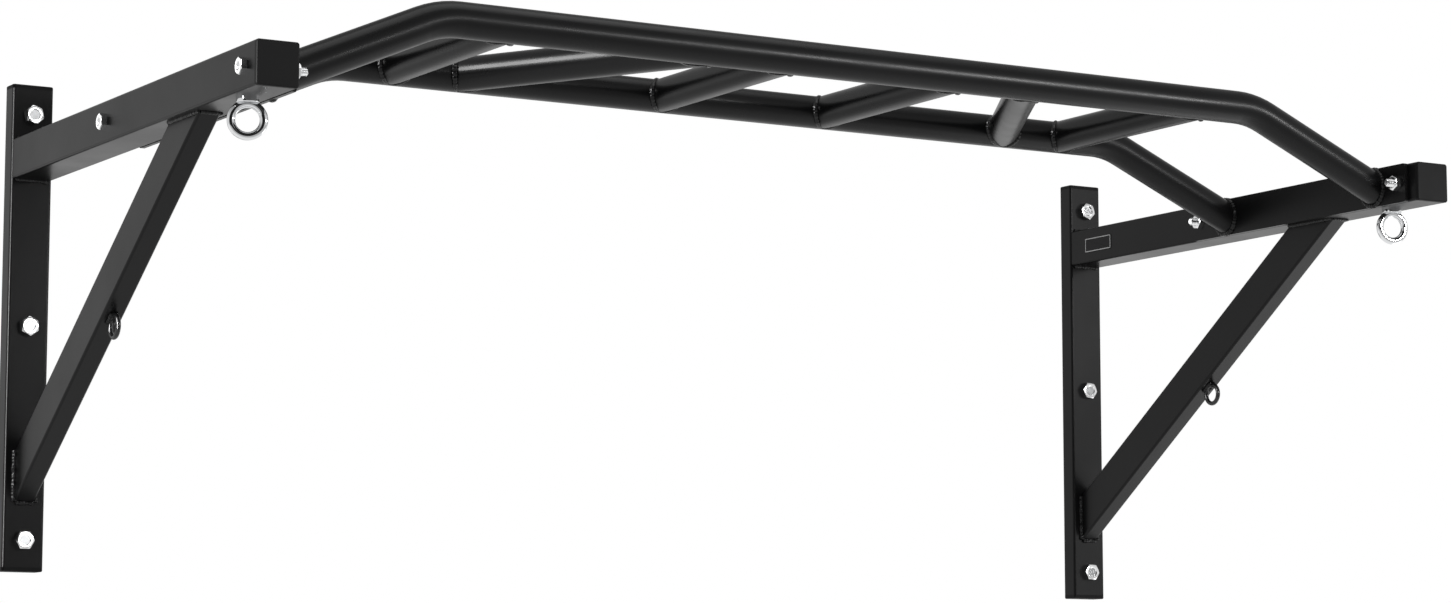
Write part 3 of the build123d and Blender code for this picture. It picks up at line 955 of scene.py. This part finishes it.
def saddle(rear_x, front_x, at_rear):
    """The closed line in which a grip meets the rear or the front bar, and the bead's size along it."""
    rear = Vector((rear_x, REAR_BAR_Y, BAR_AXIS))
    front = Vector((front_x, FRONT_BAR_Y, BAR_AXIS))
    root, away = (rear, front) if at_rear else (front, rear)
    along = (away - root).normalized()
    aside = Vector((0, 0, 1)).cross(along)
    count = round(math.tau * BAR_RADIUS / seam_step())
    sign = math.copysign(1.0, along.y)
    line = []
    sizes = []
    for i in range(count):
        turn = math.tau * i / count
        sizes.append(1.0 - SADDLE_THINNING * math.sin(turn) ** SADDLE_POWER)
        rise = BAR_RADIUS * math.sin(turn)
        reach = sign * math.sqrt(BAR_RADIUS ** 2 - (SADDLE_EASE * rise) ** 2)
        run = (reach - BAR_RADIUS * math.cos(turn) * aside.y) / along.y
        line.append(root + along * run + aside * BAR_RADIUS * math.cos(turn) + Vector((0, 0, rise)))
    return line, sizes


class PULLUP_OT_grip_welds(bpy.types.Operator):
    """Weld both ends of each grip to the bars"""

    bl_idname = "pullup.grip_welds"
    bl_label = "Grip welds"

    def execute(self, context):
        weld = context.scene.pullup_weld
        grips = {
            "wide": (weld.wide_offset, weld.wide_offset),
            "angled": (weld.angled_rear_offset, weld.angled_front_offset),
            "narrow": (weld.narrow_offset, weld.narrow_offset),
        }
        for name, side in SIDES.items():
            for kind, (rear_x, front_x) in grips.items():
                beads = bmesh.new()
                for at_rear in (True, False):
                    line, sizes = saddle(side * rear_x, side * front_x, at_rear)
                    add_bead(beads, line, weld.grip_radius, True, GRIP_SEED + at_rear, sizes)
                finish_weld(f"{kind}_grip_welds_{name}", beads)
        return {"FINISHED"}


class PULLUP_OT_ring_welds(bpy.types.Operator):
    """Tack each band ring to the underside of its brace"""

    bl_idname = "pullup.ring_welds"
    bl_label = "Band ring welds"

    def execute(self, context):
        ring_middle = (RING_LOW + RING_HIGH) / 2
        rod = (RING_HIGH.x - RING_LOW.x) / 2
        mean = (RING_HIGH.y - RING_LOW.y) / 2 - rod
        along = Vector((0, -math.cos(BRACE_ANGLE), math.sin(BRACE_ANGLE)))
        upward = Vector((0, math.sin(BRACE_ANGLE), math.cos(BRACE_ANGLE)))
        for name, side in SIDES.items():
            tacks = bmesh.new()
            seat = Vector((side * BRACKET_X, ring_middle.y, ring_middle.z)) + upward * mean
            for seed, aside in enumerate((-1, 1), TACK_SEED):
                centre = seat + Vector((aside * rod * TACK_ASIDE, 0, 0))
                reach = along * (TACK_REACH * mean)
                seam_bead(tacks, centre - reach, centre + reach, seed)
            finish_weld(f"band_ring_welds_{name}", tacks)
        return {"FINISHED"}


class PULLUP_OT_label(bpy.types.Operator):
    """Stick the blank label on the right arm's inner face"""

    bl_idname = "pullup.label"
    bl_label = "Blank label"

    def execute(self, context):
        label = context.scene.pullup_label
        bm = bmesh.new()
        size = Matrix.Diagonal((label.length / 2, label.height / 2, 1, 1))
        bmesh.ops.create_grid(bm, x_segments=1, y_segments=1, size=1.0, matrix=size)
        bmesh.ops.bevel(
            bm, geom=bm.verts[:], offset=label.corner, offset_type="OFFSET", affect="VERTICES",
            segments=5, profile=0.5, material=-1)
        pulled = bmesh.ops.extrude_face_region(bm, geom=bm.faces[:])["geom"]
        raised = [item for item in pulled if isinstance(item, bmesh.types.BMVert)]
        bmesh.ops.translate(bm, vec=(0, 0, label.thickness), verts=raised)
        top = [item for item in pulled if isinstance(item, bmesh.types.BMFace)]
        rim = label.border * LABEL_RIM_SHARE
        bmesh.ops.inset_region(bm, faces=top, thickness=rim, use_even_offset=True)
        line = bmesh.ops.inset_region(bm, faces=top, thickness=label.border, use_even_offset=True)
        for face in line["faces"]:
            face.material_index = 1
        where = Vector((ARM_LOW.x, UPRIGHT_FACE - label.setback - label.length / 2, ARM_AXIS))
        turned = Matrix(((0, 0, -1), (-1, 0, 0), (0, 1, 0))).to_4x4()
        bmesh.ops.transform(bm, matrix=Matrix.Translation(where) @ turned, verts=bm.verts)
        finish_piece("blank_label", bm, [label_face(), label_border()])
        return {"FINISHED"}


def light_panel(name, stage):
    """A soft lamp that faces a point, and shines only on its own pieces where it has any."""
    setting, where, target, size = LAMPS[name]
    lamp = bpy.data.lights.new(name, "AREA")
    lamp.shape = "RECTANGLE"
    lamp.size, lamp.size_y = size
    lamp.energy = getattr(stage, setting)
    holder = bpy.data.objects.new(name, lamp)
    bpy.context.scene.collection.objects.link(holder)
    holder.matrix_world = looking(where, Vector(target) - Vector(where))
    holder.visible_camera = False
    holder.visible_diffuse = name not in GLOSS_ONLY_LAMPS
    if name in LIT_PIECES:
        group = bpy.data.collections.new(f"{name} pieces")
        for piece in bpy.data.objects:
            if piece.name.startswith(LIT_PIECES[name]):
                group.objects.link(piece)
        holder.light_linking.receiver_collection = group


def seen_rays(tree):
    """Two masks: where the picture looks, and where it, a reflection or a refraction does."""
    rays = tree.add("ShaderNodeLightPath").outputs
    camera_ray = rays["Is Camera Ray"]
    seen = tree.combine("MAXIMUM", camera_ray, rays["Is Glossy Ray"])
    return camera_ray, tree.combine("MAXIMUM", seen, rays["Is Transmission Ray"])


def view_direction(stage):
    """The way the camera looks."""
    level = math.cos(stage.camera_tilt)
    return Vector((
        math.sin(stage.camera_turn) * level,
        math.cos(stage.camera_turn) * level,
        math.sin(stage.camera_tilt)))


def studio_world(stage):
    """Soft light from all round: white in the picture, dimmer in front and overhead in reflections."""
    world = bpy.data.worlds.new("white studio")
    world.use_nodes = True
    tree = Tree(world.node_tree)
    camera_ray, seen = seen_rays(tree)
    way = tree.add("ShaderNodeTexCoord").outputs["Generated"]
    parts = tree.add("ShaderNodeSeparateXYZ", {0: way}).outputs
    behind = tree.fade(parts["Y"], *BACK_FADE, stage.front_glow, stage.back_glow)
    overhead = tree.fade(parts["Z"], *TOP_FADE, 1.0, stage.top_glow)
    around = tree.combine("MULTIPLY", behind, overhead)
    to_room = tree.add("ShaderNodeVectorMath", operation="DOT_PRODUCT", inputs={
        0: way, 1: -view_direction(stage)})
    edge = stage.room_edge
    room = tree.fade(to_room.outputs["Value"], edge, edge + ROOM_FADE, 1.0, ROOM_GLOW)
    mirrored = tree.combine("MAXIMUM", tree.combine("MULTIPLY", around, room), camera_ray)
    tree.feed(world.node_tree.nodes["Background"], {
        "Color": (1, 1, 1, 1), "Strength": tree.blend(seen, stage.fill, mirrored)})
    bpy.context.scene.world = world


def painted_floor_tones(tree, place):
    """The floor's painted brightness in reflections along the studio."""
    first, last = PAINTED_FLOOR_TONES[0][0], PAINTED_FLOOR_TONES[-1][0]
    parts = tree.add("ShaderNodeSeparateXYZ", {0: place}).outputs
    along = tree.add("ShaderNodeMapRange", {"Value": parts["Y"], "From Min": first, "From Max": last})
    tones = tree.add("ShaderNodeValToRGB", {0: along.outputs[0]})
    ramp = tones.color_ramp
    ramp.interpolation = "EASE"
    ramp.elements.remove(ramp.elements[-1])
    for number, (place_y, tone) in enumerate(PAINTED_FLOOR_TONES):
        spot = (place_y - first) / (last - first)
        stop = ramp.elements[0] if number == 0 else ramp.elements.new(spot)
        stop.position = spot
        stop.color = (tone, tone, tone, 1.0)
    return tones.outputs[0]


def floor_paper(stage):
    """Pale floor that glows white in the picture and, in reflections, glows with painted tones and a
    patch of painted shade; its diffuse part still takes a soft shadow.
    """
    material = bpy.data.materials.new("pale floor")
    material.use_nodes = True
    material.node_tree.nodes.clear()
    tree = Tree(material.node_tree)
    camera_ray, seen = seen_rays(tree)
    place = tree.add("ShaderNodeTexCoord").outputs["Object"]
    # Painted shade: a soft dark patch behind the grips, darkening the floor's glow in reflections.
    patch = tree.add("ShaderNodeMapping", {
        "Vector": place, "Location": FLOOR_SHADE_PATCH_SHIFT, "Scale": FLOOR_SHADE_PATCH_SCALE})
    reach = tree.add("ShaderNodeVectorMath", {0: patch.outputs[0]}, operation="LENGTH").outputs["Value"]
    shade = tree.fade(reach, *FLOOR_SHADE_PATCH_FADE, stage.floor_shade, 1.0)
    mirrored = tree.combine("MULTIPLY", painted_floor_tones(tree, place), shade)
    strength = tree.combine("MAXIMUM", mirrored, camera_ray)
    fleck = tree.add("ShaderNodeTexNoise", {"Vector": place, "Scale": FLECK_SCALE, "Detail": 4.0})
    dark = [channel * FLECK_SHADE for channel in stage.floor_colour]
    colour = tree.tint(fleck.outputs[0], dark, stage.floor_colour)
    matte = tree.add("ShaderNodeBsdfDiffuse", {"Color": colour})
    glow = tree.add("ShaderNodeEmission", {"Color": (1, 1, 1, 1), "Strength": strength})
    share = tree.blend(camera_ray, seen, stage.floor_glow)
    mixed = tree.add("ShaderNodeMixShader", {0: share, 1: matte.outputs[0], 2: glow.outputs[0]})
    tree.add("ShaderNodeOutputMaterial", {"Surface": mixed.outputs[0]})
    return material


def lay_floor(stage):
    """The floor under the bar, which is no piece of it."""
    bm = bmesh.new()
    place = Matrix.Translation((0, 0, CAD_LOW[2] - stage.floor_drop))
    bmesh.ops.create_grid(bm, x_segments=1, y_segments=1, size=stage.floor_size, matrix=place)
    mesh = bpy.data.meshes.new("floor")
    bm.to_mesh(mesh)
    bm.free()
    mesh.materials.append(floor_paper(stage))
    floor = bpy.data.objects.new("floor", mesh)
    bpy.context.scene.collection.objects.link(floor)


def set_camera(stage):
    """The camera that takes the photo's view."""
    camera = bpy.data.cameras.new("camera")
    camera.sensor_width = stage.sensor
    camera.sensor_fit = "HORIZONTAL"
    camera.lens = stage.focal_pixels / IMAGE_WIDTH * stage.sensor
    holder = bpy.data.objects.new("camera", camera)
    holder.matrix_world = looking(stage.camera_place, view_direction(stage))
    bpy.context.scene.collection.objects.link(holder)
    bpy.context.scene.camera = holder


class PULLUP_OT_stage(bpy.types.Operator):
    """Set up the pale floor, the soft light and the camera"""

    bl_idname = "pullup.stage"
    bl_label = "Studio"

    def execute(self, context):
        stage = context.scene.pullup_stage
        lay_floor(stage)
        for name in LAMPS:
            light_panel(name, stage)
        studio_world(stage)
        set_camera(stage)
        context.scene.view_settings.view_transform = "Standard"
        return {"FINISHED"}


class PULLUP_PT_panel(bpy.types.Panel):
    """Lists the bar's pieces"""

    bl_idname = "PULLUP_PT_panel"
    bl_label = "Pull-up bar"
    bl_space_type = "VIEW_3D"
    bl_region_type = "UI"
    bl_category = "Pull-up bar"

    def draw(self, context):
        for operator in OPERATORS:
            self.layout.operator(operator.bl_idname)


SETTINGS = {
    "pullup_finish": PullupFinishSettings,
    "pullup_weld": PullupWeldSettings,
    "pullup_wall_bolt": PullupWallBoltSettings,
    "pullup_arm_bolt": PullupArmBoltSettings,
    "pullup_label": PullupLabelSettings,
    "pullup_stage": PullupStageSettings,
}
OPERATORS = (
    PULLUP_OT_finish_brackets,
    PULLUP_OT_finish_grips,
    PULLUP_OT_finish_caps,
    PULLUP_OT_finish_rings,
    PULLUP_OT_wall_bolts,
    PULLUP_OT_arm_bolts,
    PULLUP_OT_bracket_welds,
    PULLUP_OT_leg_welds,
    PULLUP_OT_grip_welds,
    PULLUP_OT_ring_welds,
    PULLUP_OT_label,
    PULLUP_OT_stage,
)


def register():
    for name, group in SETTINGS.items():
        bpy.utils.register_class(group)
        setattr(bpy.types.Scene, name, PointerProperty(type=group))
    for kind in OPERATORS + (PULLUP_PT_panel,):
        bpy.utils.register_class(kind)


def unregister():
    for kind in reversed(OPERATORS + (PULLUP_PT_panel,)):
        bpy.utils.unregister_class(kind)
    for name, group in SETTINGS.items():
        delattr(bpy.types.Scene, name)
        bpy.utils.unregister_class(group)


def main():
    register()
    for operator in OPERATORS:
        family, action = operator.bl_idname.split(".")
        getattr(getattr(bpy.ops, family), action)()


if __name__ == "__main__":
    main()
